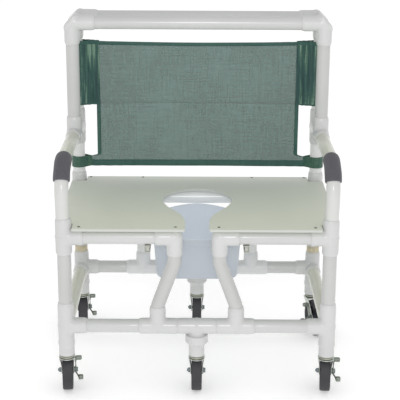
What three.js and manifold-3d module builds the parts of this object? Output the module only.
// Wide commode / shower chair: a solvent-welded plastic pipe frame on six swivel casters, with a
// keyhole seat board, a slide-out pail on two guide rails and a mesh back sling.
// Millimetres, +Z up, +Y to the rear, +X to the right of someone facing the chair from the front;
// "left" and "right" in the names are as that person sees them.
// Origin: on the floor, near the middle of the footprint.
import * as THREE from 'three';
import { mergeVertices } from 'three/addons/utils/BufferGeometryUtils.js';
import Module from 'manifold-3d';

const wasm = await Module();
wasm.setup();

// ---------------------------------------------------------------- driving dimensions
const PIPE_R = 21.1;          // outside radius of the frame pipe
const PIPE_BORE_R = 17.5;     // inside radius of the frame pipe
const FIT_R = 24.9;           // outside radius of every fitting
const SOCKET_R = 21.9;        // bore of a fitting where a pipe plugs in
const SOCKET_DEEP = 32;       // depth of a socket
const PIPE_IN = 30;           // how far a pipe goes into its socket
const FIT_ARM = 60;           // centre of a fitting to the end of its arm
const PIPE_START = FIT_ARM - PIPE_IN;   // centre of a fitting to the end of the pipe in its arm
const TEE_ARM = 58;           // centre of a tee to the end of its run
const LAP = 4;                // overlap of a pipe and a fitting joined end to end
const BORE_GAP = 8;           // how far some bores stay away from a fitting's centrelines
const OVER = 1;               // how far a cut runs past the face it opens

const POST_X = 402;           // post centrelines, left and right
const FRONT_Y = -289;         // front post plane
const REAR_Y = 229;           // rear post plane
const UPRIGHT_Y = 109;        // plane of the arm tees and the back uprights
const CROSS_Y = 127;          // seat crossbar
const LOW_Z = 212;            // lower rails
const SEAT_Z = 500;           // seat rails
const ARM_Z = 720;            // armrests
const TOP_Z = 1084;           // top bars
const STUB_BOTTOM_Z = 116;    // lower end of the six caster legs
const LIFT = 21.3;            // raises the frame's drawing height to the finished chair
const SHIFT_Y = -7.5;         // moves the frame's drawing depth to the finished chair
const PIPE_N = 12;            // sides of a pipe, a fitting or a socket
const BORE_N = 8;             // sides of the bore inside a pipe

const FRONT_LOW_REACH = 65;   // inward arm of the front lower corner fitting
const TOP_ARM_X = 73;         // reach of the top corner arms, sideways
const TOP_ARM_Z = 70;         // and downwards
const TOP_PIPE_Z = TOP_Z - TOP_ARM_Z + PIPE_IN;  // upper end of the pipes in the top corners
const BAR_END = POST_X - PIPE_START;             // half length of a bar between two posts
const TOP_BAR_END = POST_X - TOP_ARM_X + PIPE_IN;

// inner legs between the seat rails and the lower rails
const LEG_TOP_X = 68;         // front legs at the seat rail
const LEG_FOOT_X = 120;       // front legs at the lower rail
const REAR_LEG_X = 187;

// ---------------------------------------------------------------- solids from geometry
function solid(geometry) {
  const bare = geometry.clone();
  bare.deleteAttribute('normal');
  bare.deleteAttribute('uv');
  const merged = mergeVertices(bare, 1e-4);
  const source = merged.index.array;
  const triangles = [];
  for (let i = 0; i < source.length; i += 3) {
    const [a, b, c] = [source[i], source[i + 1], source[i + 2]];
    if (a !== b && b !== c && a !== c) triangles.push(a, b, c);
  }
  return new wasm.Manifold(new wasm.Mesh({
    numProp: 3,
    vertProperties: new Float32Array(merged.attributes.position.array),
    triVerts: new Uint32Array(triangles),
  }));
}

function geometryOf(manifold) {
  const mesh = manifold.getMesh();
  const geometry = new THREE.BufferGeometry();
  const positions = new Float32Array(mesh.vertProperties);
  geometry.setAttribute('position', new THREE.BufferAttribute(positions, 3));
  geometry.setIndex(new THREE.BufferAttribute(new Uint32Array(mesh.triVerts), 1));
  geometry.computeVertexNormals();
  return geometry;
}

const join = (list) => list.reduce((body, next) => body.add(next));
const cut = (body, list) => list.reduce((rest, tool) => rest.subtract(tool), body);

// a round bar along x, y or z between two ends, in either order; centre holds the other two
// coordinates in x, y, z order, and a second radius for the high end makes a cone
function rod(axis, centre, from, to, radius, sides = PIPE_N, highRadius = radius) {
  const geometry = new THREE.CylinderGeometry(highRadius, radius, Math.abs(to - from), sides, 1);
  const middle = (from + to) / 2;
  if (axis === 'z') {
    geometry.rotateX(Math.PI / 2);
    geometry.translate(centre[0], centre[1], middle);
  }
  if (axis === 'x') {
    geometry.rotateZ(-Math.PI / 2);
    geometry.translate(middle, centre[0], centre[1]);
  }
  if (axis === 'y') geometry.translate(centre[0], middle, centre[1]);
  return solid(geometry);
}

// a block between pairs of limits, each pair in either order
function box([xa, xb], [ya, yb], [za, zb]) {
  const geometry = new THREE.BoxGeometry(Math.abs(xb - xa), Math.abs(yb - ya), Math.abs(zb - za));
  geometry.translate((xa + xb) / 2, (ya + yb) / 2, (za + zb) / 2);
  return solid(geometry);
}

// a path through fixed stations, each with its own unit tangent, for an extrusion that takes
// one step from each station to the next
class StationPath extends THREE.Curve {
  constructor(points, tangents) {
    super();
    this.points = points;
    this.tangents = tangents;
  }

  getTangentAt(fraction) {
    return this.tangents[Math.round(fraction * (this.tangents.length - 1))].clone();
  }

  getSpacedPoints() {
    return this.points.map((point) => point.clone());
  }
}

// straight runs between corners, with a round bend at each inner corner
function bentPath(cornerList, radius, segments) {
  const corners = cornerList.map((corner) => new THREE.Vector3(...corner));
  const direction = (i) => corners[i + 1].clone().sub(corners[i]).normalize();
  const last = corners.length - 1;
  const points = [corners[0]];
  const tangents = [direction(0)];
  for (let i = 1; i < last; i++) {
    const before = direction(i - 1);
    const after = direction(i);
    const angle = before.angleTo(after);
    const start = corners[i].clone().addScaledVector(before, -radius * Math.tan(angle / 2));
    const axis = before.clone().cross(after).normalize();
    const inward = axis.clone().cross(before).normalize();
    const centre = start.clone().addScaledVector(inward, radius);
    for (let k = 0; k <= segments; k++) {
      const turn = angle * k / segments;
      const spoke = inward.clone().applyAxisAngle(axis, turn);
      points.push(centre.clone().addScaledVector(spoke, -radius));
      tangents.push(before.clone().applyAxisAngle(axis, turn));
    }
  }
  points.push(corners[last]);
  tangents.push(direction(last - 1));
  return new StationPath(points, tangents);
}

function ring(radius, sides) {
  return Array.from({ length: sides }, (_, i) => new THREE.Vector2(
    radius * Math.cos(2 * Math.PI * i / sides), radius * Math.sin(2 * Math.PI * i / sides)));
}

// a round bar, or a hollow tube, swept along a path
function swept(path, radius, boreRadius = 0, sides = PIPE_N) {
  const shape = new THREE.Shape(ring(radius, sides));
  if (boreRadius > 0) shape.holes.push(new THREE.Path(ring(boreRadius, sides).reverse()));
  return solid(new THREE.ExtrudeGeometry(shape, {
    steps: path.points.length - 1, extrudePath: path, bevelEnabled: false,
  }));
}

// the geometry of a flat outline in x and y, raised between two heights
function slab(outline, bottom, top) {
  const shape = new THREE.Shape(outline.map((point) => new THREE.Vector2(...point)));
  const geometry = new THREE.ExtrudeGeometry(shape,
    { depth: top - bottom, steps: 1, bevelEnabled: false });
  geometry.translate(0, 0, bottom);
  return geometry;
}

// a flat outline in y and z, thick along x
function plate(outline, lowX, highX) {
  const geometry = slab(outline, lowX, highX);
  geometry.applyMatrix4(new THREE.Matrix4().set(   // x -> y, y -> z, z -> x
    0, 0, 1, 0,
    1, 0, 0, 0,
    0, 1, 0, 0,
    0, 0, 0, 1));
  return solid(geometry);
}

// ---------------------------------------------------------------- pipe and fitting parts
const bore = (axis, centre, from, to) => rod(axis, centre, from, to, PIPE_BORE_R, BORE_N);

// a straight length of pipe, from the low end to the high end
const pipe = (axis, centre, low, high) =>
  cut(rod(axis, centre, low, high, PIPE_R), [bore(axis, centre, low - OVER, high + OVER)]);

// the hole for a pipe, in an arm that ends at "end" and points along "sign"
const socket = (axis, centre, end, sign) =>
  rod(axis, centre, end - sign * SOCKET_DEEP, end + sign * OVER, SOCKET_R);

// one arm of a fitting, from its centre outwards, and the cuts that make its bore and socket
const armBody = (axis, centre, from, sign, reach = FIT_ARM) =>
  rod(axis, centre, from, from + sign * reach, FIT_R);
const armBore = (axis, centre, from, sign, reach = FIT_ARM) => [
  socket(axis, centre, from + sign * reach, sign),
  bore(axis, centre, from, from + sign * (reach - SOCKET_DEEP + OVER)),
];

// ---------------------------------------------------------------- finishes
const finish = (look) => new THREE.MeshStandardMaterial(look);
const PVC = finish({ color: 0xd6d6d2, roughness: 0.32, metalness: 0 });
const BOARD = finish({ color: 0xb4b7a8, roughness: 0.45, metalness: 0 });
const PAIL = finish({ color: 0xb8c2ce, roughness: 0.38, metalness: 0 });
const RAIL = finish({ color: 0xe4e4e0, roughness: 0.4, metalness: 0 });
const MESH = finish({ color: 0x49695e, roughness: 0.85, metalness: 0 });
const FOAM = finish({ color: 0x58585e, roughness: 0.9, metalness: 0 });
const ZINC = finish({ color: 0xb9bdb8, roughness: 0.35, metalness: 1 });
const TYRE = finish({ color: 0x3f3f43, roughness: 0.6, metalness: 0 });
const LEVER = finish({ color: 0x9aa491, roughness: 0.4, metalness: 0.6 });

const chair = new THREE.Group();          // everything, at the drawing height
chair.position.set(0, SHIFT_Y, LIFT);

function add(name, manifold, material, parent = chair) {
  const mesh = new THREE.Mesh(geometryOf(manifold), material);
  mesh.name = name;
  parent.add(mesh);
}

// ---------------------------------------------------------------- side frames
// In this section sign is -1 on the left and 1 on the right.

// a caster leg, pipe and seat-height fitting, with arms inwards and towards the other post
function post(sign, y, { depthSign, lowReach, lowerTop, upperBottom, pipeTop, boreTop }) {
  const x = sign * POST_X;
  const seatTop = SEAT_Z + FIT_ARM;
  const arms = [
    ['x', [y, LOW_Z], x, -sign, lowReach], ['y', [x, LOW_Z], y, depthSign],
    ['x', [y, SEAT_Z], x, -sign], ['y', [x, SEAT_Z], y, depthSign],
  ];
  return cut(join([
    rod('z', [x, y], STUB_BOTTOM_Z, lowerTop, FIT_R),
    rod('z', [x, y], lowerTop - LAP, pipeTop, PIPE_R),
    rod('z', [x, y], upperBottom, seatTop, FIT_R),
    ...arms.map((arm) => armBody(...arm)),
  ]), [
    bore('z', [x, y], STUB_BOTTOM_Z - OVER, boreTop),
    ...arms.flatMap((arm) => armBore(...arm)),
  ]);
}

// the front post ends in an open socket for the armrest
function frontPost(sign) {
  const upperBottom = 446;
  const seatTop = SEAT_Z + FIT_ARM;
  const body = post(sign, FRONT_Y, {
    depthSign: 1, lowReach: FRONT_LOW_REACH, lowerTop: 290, upperBottom,
    pipeTop: upperBottom + LAP, boreTop: seatTop - SOCKET_DEEP + OVER,
  });
  return cut(body, [socket('z', [sign * POST_X, FRONT_Y], seatTop, 1)]);
}

// the rear post's pipe runs on up to the top corner
const rearPost = (sign) => post(sign, REAR_Y, {
  depthSign: -1, lowReach: FIT_ARM, lowerTop: 274, upperBottom: 440,
  pipeTop: TOP_PIPE_Z, boreTop: TOP_PIPE_Z + OVER,
});

// one bent pipe from the front post to the arm bracket
const ARM_BEND_R = 100;       // centreline bend
function armTube(sign) {
  const x = sign * POST_X;
  const path = bentPath([
    [x, FRONT_Y, SEAT_Z + PIPE_START], [x, FRONT_Y, ARM_Z], [x, UPRIGHT_Y - PIPE_START, ARM_Z],
  ], ARM_BEND_R, 6);
  return swept(path, PIPE_R, PIPE_BORE_R);
}

// foam sleeve round the armrest bend
const GRIP_R = 26.2;
const GRIP_BORE_R = 22.2;
const GRIP_START = 5;         // degrees round the bend from its level end
const GRIP_SWEEP = 55;        // degrees
const GRIP_STEPS = 5;
function armGrip(sign) {
  const points = [];
  const tangents = [];
  for (let k = 0; k <= GRIP_STEPS; k++) {
    const angle = (GRIP_START + GRIP_SWEEP * k / GRIP_STEPS) * Math.PI / 180;
    const [sin, cos] = [Math.sin(angle), Math.cos(angle)];
    points.push(new THREE.Vector3(sign * POST_X,
      FRONT_Y + ARM_BEND_R - ARM_BEND_R * sin, ARM_Z - ARM_BEND_R + ARM_BEND_R * cos));
    tangents.push(new THREE.Vector3(0, -cos, -sin));
  }
  return swept(new StationPath(points, tangents), GRIP_R, GRIP_BORE_R);
}

// arm tee with a socket for the back upright, joined to a slip tee on the rear post
function armBracket(sign) {
  const x = sign * POST_X;
  const frontEnd = UPRIGHT_Y - FIT_ARM;
  const low = ARM_Z - FIT_ARM;
  const high = ARM_Z + FIT_ARM;
  return cut(join([
    rod('y', [x, ARM_Z], frontEnd, REAR_Y, FIT_R),
    armBody('z', [x, UPRIGHT_Y], ARM_Z, 1),
    rod('z', [x, REAR_Y], low, high, FIT_R),
  ]), [
    socket('y', [x, ARM_Z], frontEnd, -1),
    bore('y', [x, ARM_Z], frontEnd, REAR_Y - 5),
    ...armBore('z', [x, UPRIGHT_Y], ARM_Z, 1),
    rod('z', [x, REAR_Y], low - OVER, high + OVER, SOCKET_R),
  ]);
}

const backUpright = (sign) =>
  pipe('z', [sign * POST_X, UPRIGHT_Y], ARM_Z + PIPE_START, TOP_PIPE_Z);

// two swept elbows joined front to rear by a bridge
const TOP_BEND_R = 27;        // centreline bend
const BRIDGE_INSET = 4;       // bridge centreline, inward of and below the elbow corners
function topCorner(sign) {
  const x = sign * POST_X;
  const armX = x - sign * TOP_ARM_X;
  const armZ = TOP_Z - TOP_ARM_Z;
  const bridge = [x - sign * BRIDGE_INSET, TOP_Z - BRIDGE_INSET];
  const elbow = (y) => swept(
    bentPath([[x, y, armZ], [x, y, TOP_Z], [armX, y, TOP_Z]], TOP_BEND_R, 3), FIT_R);
  const openings = (y) => [
    socket('z', [x, y], armZ, -1),
    socket('x', [y, TOP_Z], armX, -sign),
    bore('z', [x, y], armZ, TOP_Z - BORE_GAP),
    bore('x', [y, TOP_Z], armX, x - sign * BORE_GAP),
  ];
  return cut(join([
    elbow(UPRIGHT_Y), elbow(REAR_Y),
    rod('y', bridge, UPRIGHT_Y, REAR_Y, FIT_R),
  ]), [
    ...openings(UPRIGHT_Y), ...openings(REAR_Y),
    rod('y', bridge, UPRIGHT_Y, REAR_Y, PIPE_BORE_R - 1, BORE_N),
  ]);
}

const SIDE_RAIL_Y = [FRONT_Y + PIPE_START, REAR_Y - PIPE_START];   // ends of the side rails
const lowerSideRail = (sign) => pipe('y', [sign * POST_X, LOW_Z], ...SIDE_RAIL_Y);

// side rail with the short tee that carries the seat crossbar
const CROSS_ARM = 41;         // half run of that tee
function seatSideRail(sign) {
  const x = sign * POST_X;
  const [front, rear] = SIDE_RAIL_Y;
  const arm = ['x', [CROSS_Y, SEAT_Z], x, -sign];
  return cut(join([
    rod('y', [x, SEAT_Z], front, rear, PIPE_R),
    rod('y', [x, SEAT_Z], CROSS_Y - CROSS_ARM, CROSS_Y + CROSS_ARM, FIT_R),
    armBody(...arm),
  ]), [
    bore('y', [x, SEAT_Z], front - OVER, rear + OVER),
    ...armBore(...arm),
  ]);
}

// half of the front seat rail: rail, elbow and the leg that bends out to the lower rail
const LEG_BEND_R = 60;        // centreline bend
const LEG_BEND_N = 2;         // segments of a bend
function frontLeg(sign) {
  const inner = sign * LEG_TOP_X;
  const foot = sign * LEG_FOOT_X;
  const railStart = inner + sign * 25;
  const railEnd = sign * BAR_END;
  const footZ = LOW_Z + PIPE_START;
  const legPath = (top, bottom) => bentPath([
    [inner, FRONT_Y, top], [inner, FRONT_Y, 425], [foot, FRONT_Y, 283], [foot, FRONT_Y, bottom],
  ], LEG_BEND_R, LEG_BEND_N);
  return cut(join([
    rod('x', [FRONT_Y, SEAT_Z], railStart, railEnd, PIPE_R),
    rod('z', [inner, FRONT_Y], 443, SEAT_Z + FIT_R, FIT_R),
    armBody('x', [FRONT_Y, SEAT_Z], inner, sign),
    swept(legPath(470, footZ), PIPE_R),
  ]), [
    bore('x', [FRONT_Y, SEAT_Z], inner + sign * BORE_GAP, railEnd + sign * OVER),
    swept(legPath(SEAT_Z - BORE_GAP, footZ - OVER), PIPE_BORE_R, 0, BORE_N),
  ]);
}

// C-shaped guide rail for the pail, open towards the middle, with its top off at the rear end
const RAIL_X = [141, 158];    // inner and outer face
const RAIL_Y = [-304, 246];
const RAIL_Z = [456, 478.5];
const RAIL_WALL = 3;
const RAIL_CUT_Y = 201;       // the top is cut from here to the rear
const RAIL_CUT_DEEP = 4.5;
function pailRail(sign) {
  const [inner, outer] = RAIL_X;
  const [front, rear] = RAIL_Y;
  const [bottom, top] = RAIL_Z;
  return cut(box([sign * inner, sign * outer], RAIL_Y, RAIL_Z), [
    box([sign * (inner - OVER), sign * (outer - RAIL_WALL)],
      [front - OVER, rear + OVER], [bottom + RAIL_WALL, top - RAIL_WALL]),
    box([sign * (inner - OVER), sign * (outer + OVER)],
      [RAIL_CUT_Y, rear + OVER], [top - RAIL_CUT_DEEP, top + OVER]),
  ]);
}

for (const [side, sign] of [['left', -1], ['right', 1]]) {
  add(`front_post_${side}`, frontPost(sign), PVC);
  add(`rear_post_${side}`, rearPost(sign), PVC);
  add(`arm_tube_${side}`, armTube(sign), PVC);
  add(`arm_grip_${side}`, armGrip(sign), FOAM);
  add(`arm_bracket_${side}`, armBracket(sign), PVC);
  add(`back_upright_${side}`, backUpright(sign), PVC);
  add(`top_corner_${side}`, topCorner(sign), PVC);
  add(`lower_side_rail_${side}`, lowerSideRail(sign), PVC);
  add(`seat_side_rail_${side}`, seatSideRail(sign), PVC);
  add(`front_leg_${side}`, frontLeg(sign), PVC);
  add(`pail_rail_${side}`, pailRail(sign), RAIL);
}

// ---------------------------------------------------------------- cross members
add('top_bar_front', pipe('x', [UPRIGHT_Y, TOP_Z], -TOP_BAR_END, TOP_BAR_END), PVC);
add('top_bar_rear', pipe('x', [REAR_Y, TOP_Z], -TOP_BAR_END, TOP_BAR_END), PVC);
add('seat_crossbar', pipe('x', [CROSS_Y, SEAT_Z], -BAR_END, BAR_END), PVC);

// lower rail: pipe, two upward tees and the middle tee, whose collared leg carries a caster
const COLLAR_R = 34.5;
const COLLAR_Z = [160, 186];
const CONE_BOTTOM_Z = 148;    // the collar tapers down to here
const MIDDLE_LEG_R = 24.4;
function lowerRail(y, teeX, end) {
  const centre = [y, LOW_Z];
  const [collarBottom, collarTop] = COLLAR_Z;
  return cut(join([
    rod('x', centre, -end, end, PIPE_R),
    ...[-teeX, teeX, 0].map((x) => rod('x', centre, x - TEE_ARM, x + TEE_ARM, FIT_R)),
    armBody('z', [-teeX, y], LOW_Z, 1),
    armBody('z', [teeX, y], LOW_Z, 1),
    rod('z', [0, y], 166, LOW_Z, FIT_R),
    rod('z', [0, y], collarBottom, collarTop, COLLAR_R),
    rod('z', [0, y], CONE_BOTTOM_Z, collarBottom + 0.5, MIDDLE_LEG_R, PIPE_N, COLLAR_R),
    rod('z', [0, y], STUB_BOTTOM_Z, CONE_BOTTOM_Z + 2, MIDDLE_LEG_R),
  ]), [
    bore('x', centre, -end - OVER, end + OVER),
    ...armBore('z', [-teeX, y], LOW_Z, 1),
    ...armBore('z', [teeX, y], LOW_Z, 1),
    bore('z', [0, y], STUB_BOTTOM_Z - OVER, LOW_Z),
  ]);
}
const frontRailEnd = POST_X - FRONT_LOW_REACH + PIPE_IN;
add('lower_rail_front', lowerRail(FRONT_Y, LEG_FOOT_X, frontRailEnd), PVC);
add('lower_rail_rear', lowerRail(REAR_Y, REAR_LEG_X, BAR_END), PVC);

// rear seat rail with its two tees and the two short legs down to the lower rail
function seatRailRear() {
  const centre = [REAR_Y, SEAT_Z];
  const legs = [-REAR_LEG_X, REAR_LEG_X];
  const footZ = LOW_Z + PIPE_START;
  return cut(join([
    rod('x', centre, -BAR_END, BAR_END, PIPE_R),
    ...legs.flatMap((x) => [
      rod('x', centre, x - TEE_ARM, x + TEE_ARM, FIT_R),
      armBody('z', [x, REAR_Y], SEAT_Z, -1),
      rod('z', [x, REAR_Y], footZ, SEAT_Z - FIT_ARM + LAP, PIPE_R),
    ]),
  ]), [
    bore('x', centre, -BAR_END - OVER, BAR_END + OVER),
    ...legs.map((x) => bore('z', [x, REAR_Y], footZ - OVER, SEAT_Z)),
  ]);
}
add('seat_rail_rear', seatRailRear(), PVC);

// ---------------------------------------------------------------- seat board
const BOARD_HALF_X = 425;
const BOARD_FRONT = -315;
const BOARD_REAR = 254;
const BOARD_Z = [525.2, 533.2];
const NOTCH_X = 376;          // the corner notches round the posts start here
const NOTCH_Y = 52;           // depth of a notch
const LIP = 6;                // rounding where the slot meets the front edge
const LIP_MIDDLE = 1.8;       // its middle point, in from each edge
// half width and y, from the slot to the rear of the round opening
const KEYHOLE = [
  [36, -282], [36.5, -255], [38, -227], [42, -198], [50, -170], [62.5, -144],
  [77, -117], [91, -90], [103, -56], [110.5, -26], [109.5, 2], [103, 26],
  [91.5, 50], [75, 72], [52, 91], [27, 103], [0, 107],
];

// outline with four corner notches and a keyhole that opens at the front edge
function seatBoard() {
  const slotHalf = KEYHOLE[0][0];
  const mirrored = (points) => points.map(([x, y]) => [-x, y]);
  const edge = [
    [slotHalf + LIP, BOARD_FRONT], [NOTCH_X, BOARD_FRONT], [NOTCH_X, BOARD_FRONT + NOTCH_Y],
    [BOARD_HALF_X, BOARD_FRONT + NOTCH_Y], [BOARD_HALF_X, BOARD_REAR - NOTCH_Y],
    [NOTCH_X, BOARD_REAR - NOTCH_Y], [NOTCH_X, BOARD_REAR],
  ];
  const opening = [
    [slotHalf + LIP_MIDDLE, BOARD_FRONT + LIP_MIDDLE], [slotHalf, BOARD_FRONT + LIP], ...KEYHOLE,
  ];
  const outline = [
    ...edge, ...mirrored(edge).reverse(),
    ...mirrored(opening), ...opening.slice(0, -1).reverse(),
  ];
  return solid(slab(outline, ...BOARD_Z));
}
add('seat_board', seatBoard(), BOARD);

// ---------------------------------------------------------------- pail
const PAIL_BOTTOM = 336;
const PAIL_TOP = 473;
const PAIL_FRONT = -229;
const PAIL_REAR = 142;
const PAIL_HALF = 137.5;      // half width at the rim
const PAIL_WALL = 3;
const PAIL_CORNER_R = 38;     // front corners
const PAIL_END = 125;         // length of the rounded rear end
const PAIL_END_POWER = 1.25;  // 1 is an ellipse; higher is more pointed
const PAIL_TAPER = 0.075;     // inward lean per unit of drop
const RIM_BAND = 24;          // height of the rim band
const RIM_STEP = 2;           // how far the band stands out from the tub
const FLANGE_HALF = 152;
const FLANGE_Z = RAIL_Z[0] + RAIL_WALL + 0.4;   // just clear of the guide rail's floor

// outline in x and y with rounded front corners and a rounded rear end
function pailOutline(grow) {
  const half = PAIL_HALF + grow;
  const radius = PAIL_CORNER_R + grow;
  const cornerY = PAIL_FRONT - grow + radius;
  const rear = PAIL_REAR + grow;
  const points = [];
  const quarterTurn = (centreX, start) => {
    for (let k = 0; k <= 4; k++) {
      const angle = start + Math.PI / 2 * k / 4;
      points.push([centreX + radius * Math.cos(angle), cornerY + radius * Math.sin(angle)]);
    }
  };
  quarterTurn(half - radius, -Math.PI / 2);
  for (let k = 0; k <= 16; k++) {
    const angle = Math.PI * k / 16;
    const cos = Math.cos(angle);
    points.push([
      Math.sign(cos) * half * Math.abs(cos) ** PAIL_END_POWER,
      rear - PAIL_END + PAIL_END * Math.sin(angle) ** PAIL_END_POWER,
    ]);
  }
  quarterTurn(-half + radius, Math.PI);
  return points;
}

// the outline raised between two heights and shrunk with its drop below the rim
function tapered(grow, bottom, top, taper) {
  const geometry = slab(pailOutline(grow), bottom, top);
  const position = geometry.attributes.position;
  const middleY = (PAIL_FRONT + PAIL_REAR) / 2;
  const halfDepth = (PAIL_REAR - PAIL_FRONT) / 2;
  for (let i = 0; i < position.count; i++) {
    const inset = (PAIL_TOP - position.getZ(i)) * taper;
    position.setX(i, position.getX(i) * (1 - inset / PAIL_HALF));
    position.setY(i, middleY + (position.getY(i) - middleY) * (1 - inset / halfDepth));
  }
  return solid(geometry);
}

// tub, rim band and a flange each side that runs in the guide rails, then hollowed
function pail() {
  const body = join([
    tapered(-RIM_STEP, PAIL_BOTTOM, PAIL_TOP, PAIL_TAPER),
    tapered(0, PAIL_TOP - RIM_BAND, PAIL_TOP, 0),
    box([-FLANGE_HALF, FLANGE_HALF], [PAIL_FRONT + 45, PAIL_REAR - 100],
      [FLANGE_Z, FLANGE_Z + PAIL_WALL]),
  ]);
  const hollow = tapered(-RIM_STEP - PAIL_WALL, PAIL_BOTTOM + PAIL_WALL, PAIL_TOP + OVER,
    PAIL_TAPER);
  return cut(body, [hollow]);
}
add('pail', pail(), PAIL);

// ---------------------------------------------------------------- back sling
// mesh panel with a sleeve round each rear post at the top and a strap loop at the bottom;
// each layer differs a little in size so that no faces coincide
const SLEEVE_R = 24.4;
const SLEEVE_BORE_R = 22;
function backSling() {
  const layer = (halfWidth, halfThick, low, high) =>
    box([-halfWidth, halfWidth], [REAR_Y - halfThick, REAR_Y + halfThick], [low, high]);
  const [sleeveLow, sleeveHigh] = [794, 1007];
  const [loopLow, loopHigh] = [577, 615.5];
  const posts = [-POST_X, POST_X];
  return cut(join([
    layer(337, 1.6, 578, 1006),
    layer(379, 1.55, sleeveLow, sleeveHigh - 0.5),
    layer(379, 1.5, loopLow + 0.5, loopHigh - 0.5),
    ...posts.flatMap((x) => [
      rod('z', [x, REAR_Y], sleeveLow, sleeveHigh, SLEEVE_R),
      rod('z', [x, REAR_Y], loopLow, loopHigh, SLEEVE_R),
    ]),
  ]), posts.map((x) => rod('z', [x, REAR_Y], loopLow - OVER, sleeveHigh + OVER, SLEEVE_BORE_R)));
}
add('back_sling', backSling(), MESH);

// ---------------------------------------------------------------- casters
const WHEEL_FLAT_R = 63.5;    // wheel centre to the middle of a tread facet
const WHEEL_HALF = 16;        // half width of the tyre
const WHEEL_N = 18;
const HUB_HALF = 19.6;
const TRAIL = 45;             // swivel axis to axle
const AXLE_Z = WHEEL_FLAT_R - LIFT;   // at the frame's drawing height
const FORK_HALF = 23;
const FORK_THICK = 2.5;
const CROWN_Z = [103.5, 106.5];
const SEAT_X = 23.4;          // where the nut, head or lever bears, just outside the fork

// bottom, top, radius, sides: plug in the leg bore, raceway disc, swivel pin, riveted foot
const STEM_TIERS = [
  [115.4, 165, 16.8, BORE_N], [107, 115.5, 20, 12], [100, 107.2, 5, 8], [99, 103, 8.5, 8],
];
// y and z of a fork cheek
const FORK_CHEEK = [[-16, 106.5], [22, 106.5], [58, 47], [54, 32], [38, 31], [-6, 97], [-16, 100]];
// y and z of the brake lever's upper and lower arm
const LEVER_UPPER = [[TRAIL - 6, AXLE_Z + 4], [TRAIL + 7, AXLE_Z + 4], [36, 95], [24, 95]];
const LEVER_LOWER = [[TRAIL - 4, AXLE_Z + 8], [TRAIL - 4, AXLE_Z - 8], [22, 18.5], [15, 30]];

const axleRod = (from, to, radius, sides = 8) =>
  rod('x', [TRAIL, AXLE_Z], from, to, radius, sides);

const casterStem = () => join(STEM_TIERS.map(([bottom, top, radius, sides]) =>
  rod('z', [0, 0], bottom, top, radius, sides)));

function casterFork() {
  const inside = FORK_HALF - FORK_THICK;
  return cut(join([
    box([-FORK_HALF, FORK_HALF], [-16, 22], CROWN_Z),
    plate(FORK_CHEEK, -FORK_HALF, -inside),
    plate(FORK_CHEEK, inside, FORK_HALF),
  ]), [
    rod('z', [0, 0], CROWN_Z[0] - OVER, CROWN_Z[1] + OVER, 5.8, 8),
    axleRod(-FORK_HALF - OVER, FORK_HALF + OVER, 5.2),
  ]);
}

// a profile turned about the axle, with a flat facet facing down
function casterWheel() {
  const rim = WHEEL_FLAT_R / Math.cos(Math.PI / WHEEL_N);
  const shoulder = WHEEL_HALF - 5;
  const profile = [      // radius, offset along the axle
    [5.4, -HUB_HALF], [15, -HUB_HALF], [50, -WHEEL_HALF], [rim, -shoulder],
    [rim, shoulder], [50, WHEEL_HALF], [15, HUB_HALF], [5.4, HUB_HALF], [5.4, -HUB_HALF],
  ];
  const geometry = new THREE.LatheGeometry(
    profile.map((point) => new THREE.Vector2(...point)), WHEEL_N);
  geometry.rotateY(Math.PI / WHEEL_N);
  geometry.rotateZ(-Math.PI / 2);
  geometry.translate(0, TRAIL, AXLE_Z);
  return solid(geometry);
}

// shank, nut and head; the head sits further out over a brake lever
function casterAxle(brake) {
  const head = brake ? 27 : SEAT_X;
  return join([
    axleRod(-31, head + 1, 4.4),
    axleRod(-29.5, -SEAT_X, 7.5, 6),
    axleRod(head, head + 4.8, 7.5, 6),
  ]);
}

// disc on the axle, an arm up and an arm down, each with a block at its end
const brakeLever = () => cut(join([
  axleRod(SEAT_X, 26.6, 11),
  plate(LEVER_UPPER, 23.5, 26.5),
  plate(LEVER_LOWER, 23.5, 26.5),
  box([23.6, 45], [24, 36], [82, 95]),
  box([23.6, 47], [15, 29], [18.5, 34]),
]), [axleRod(22, 28, 5.4)]);

// the stem stays with the frame; everything else turns with the swivel angle in degrees
function caster(id, x, y, swivel, brake) {
  const fixed = new THREE.Group();
  fixed.position.set(x, y, 0);
  chair.add(fixed);
  const turning = new THREE.Group();
  turning.rotation.z = swivel * Math.PI / 180;
  fixed.add(turning);

  add(`caster_${id}_stem`, casterStem(), ZINC, fixed);
  add(`caster_${id}_fork`, casterFork(), ZINC, turning);
  add(`caster_${id}_wheel`, casterWheel(), TYRE, turning);
  add(`caster_${id}_axle`, casterAxle(brake), ZINC, turning);
  if (brake) add(`caster_${id}_brake_lever`, brakeLever(), LEVER, turning);
}

caster('front_left', -POST_X, FRONT_Y, 5, true);
caster('front_middle', 0, FRONT_Y, -1, false);
caster('front_right', POST_X, FRONT_Y, -5, true);
caster('rear_left', -POST_X, REAR_Y, 5, true);
caster('rear_middle', 0, REAR_Y, 0, false);
caster('rear_right', POST_X, REAR_Y, -160, true);

const part = new THREE.Group();
part.add(chair);
export default part;
